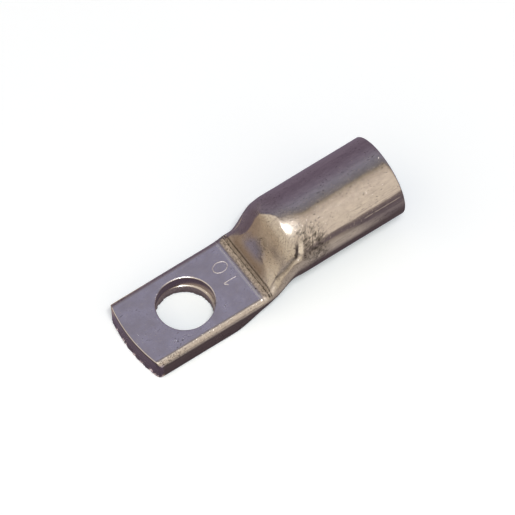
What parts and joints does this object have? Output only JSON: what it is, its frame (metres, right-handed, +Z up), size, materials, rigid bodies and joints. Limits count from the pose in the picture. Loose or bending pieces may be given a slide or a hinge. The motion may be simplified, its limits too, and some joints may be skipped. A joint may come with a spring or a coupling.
{
  "type": "cable lug",
  "caption": "Tubular compression cable lug: round barrel for the conductor, pressed shoulder with a steep ramp, and a flat palm with a stud hole.",
  "frame": {"origin": "on the axis of the stud hole, at the underside of the palm", "axes": "+X along the tube towards the barrel's mouth, +Z up out of the palm's top face, symmetric about the XZ plane"},
  "size_m": [0.055, 0.016, 0.0169],
  "materials": {
    "tinned_copper": "bright tin plate on soft copper, lightly scuffed, semi-gloss"
  },
  "bodies": {
    "root": {"lug_body": "tinned_copper"}
  },
  "joints": []
}
